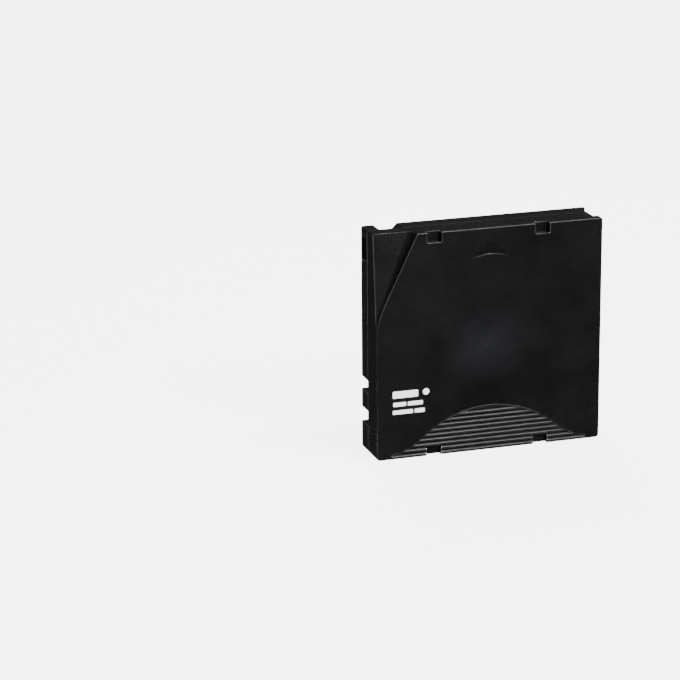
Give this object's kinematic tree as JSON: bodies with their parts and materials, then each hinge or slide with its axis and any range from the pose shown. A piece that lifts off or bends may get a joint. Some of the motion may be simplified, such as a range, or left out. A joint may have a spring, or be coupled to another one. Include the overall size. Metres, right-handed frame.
{
  "type": "tape cleaning cartridge",
  "caption": "Flat square cartridge with one reel of cleaning tape, a sliding door for the leader pin, a ribbed grip and a drive opening in the lower face.",
  "frame": {"origin": "middle of the rear end, which the cartridge stands on", "axes": "+Z towards the insertion end, -Y out of the upper face that carries the grip and the guide recess, +X to the right when that face is looked at"},
  "size_m": [0.1054, 0.0216, 0.102],
  "materials": {
    "case_plastic": "black moulded plastic with fine spark-eroded grain",
    "door_plastic": "black moulded plastic, slightly smoother than the case",
    "tab_plastic": "red moulded plastic",
    "hub_plastic": "natural off-white moulded plastic",
    "flange_plastic": "smooth off-white moulded plastic",
    "brake_plastic": "white self-lubricating plastic",
    "pad_plastic": "white self-lubricating plastic",
    "spring_steel": "drawn spring wire",
    "plate_steel": "stamped magnetic steel",
    "pin_steel": "turned and polished steel",
    "screw_steel": "zinc-plated steel",
    "tape_film": "dark brown coated film",
    "clip_plastic": "dark moulded plastic",
    "board_green": "green lacquered glass-fibre board",
    "chip_black": "black moulded chip package"
  },
  "bodies": {
    "case": {"upper_shell": "case_plastic", "lower_shell": "case_plastic", "leader_pin": "pin_steel", "leader_clip": "clip_plastic", "leader_tape": "tape_film", "pin_retainer_upper": "spring_steel", "pin_retainer_lower": "spring_steel", "memory_board": "board_green", "memory_chip": "chip_black", "case_screws": "screw_steel", "door_spring": "spring_steel", "brake_spring": "spring_steel"},
    "reel": {"reel_hub": "hub_plastic", "upper_flange": "flange_plastic", "clutch_plate": "plate_steel", "cleaning_tape": "tape_film"},
    "brake": {"brake_button": "brake_plastic"},
    "release": {"release_pad": "pad_plastic"},
    "door": {"access_door": "door_plastic"},
    "tab": {"write_protect_tab": "tab_plastic"}
  },
  "joints": [
    {"name": "reel_spin", "type": "hinge", "parent": "case", "child": "reel", "pos_m": [-0.0018, 0, 0.0499], "axis": [0, 1, 0], "continuous": true},
    {"name": "brake_lift", "type": "slide", "parent": "case", "child": "brake", "axis": [0, -1, 0], "range_m": [0, 0.0014], "stiffness_N_per_m": 700, "springref_m": -0.006, "deforming": ["brake_spring"]},
    {"name": "release_lift", "type": "slide", "parent": "reel", "child": "release", "axis": [0, -1, 0], "range_m": [0, 0.0014]},
    {"name": "door_slide", "type": "slide", "parent": "case", "child": "door", "axis": [0, 0, -1], "range_m": [0, 0.015], "stiffness_N_per_m": 20, "springref_m": -0.02, "deforming": ["door_spring"]},
    {"name": "tab_slide", "type": "slide", "parent": "case", "child": "tab", "axis": [1, 0, 0], "range_m": [0, 0.0052]}
  ],
  "couplings": [
    {"joint": "release_lift", "follows": "brake_lift", "ratio": 1}
  ]
}
